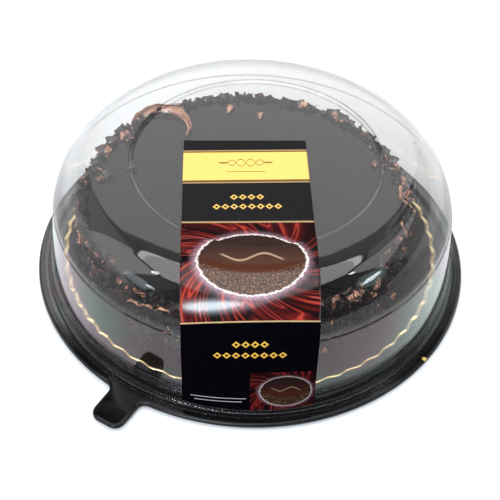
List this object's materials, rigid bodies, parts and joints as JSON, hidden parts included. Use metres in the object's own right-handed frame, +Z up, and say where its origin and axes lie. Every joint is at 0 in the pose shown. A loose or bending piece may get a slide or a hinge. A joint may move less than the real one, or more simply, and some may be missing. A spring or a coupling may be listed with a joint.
{
  "type": "packaged black forest cake",
  "caption": "Round chocolate-glazed cake with shavings on a scalloped gold board, in a black tray under a clear domed lid with a card label strip.",
  "frame": {"origin": "on the table, under the middle of the round tray", "axes": "+Z up; -Y is the front, which the label strip runs down; the lifting tab points to the front left"},
  "size_m": [0.276, 0.276, 0.0847],
  "materials": {
    "tray_plastic": "gloss black thermoformed plastic",
    "clear_plastic": "clear thermoformed plastic sheet, glossy",
    "label_card": "gloss printed card, black with gold bands",
    "gold_board": "gold foil on card",
    "chocolate_glaze": "mirror-dark chocolate glaze, food",
    "chocolate_shavings": "satin dark chocolate, food"
  },
  "bodies": {
    "root": {"base_tray": "tray_plastic", "dome_lid": "clear_plastic", "label_strip": "label_card", "cake_board": "gold_board", "cake": "chocolate_glaze", "chocolate_curl": "chocolate_shavings"}
  },
  "joints": []
}
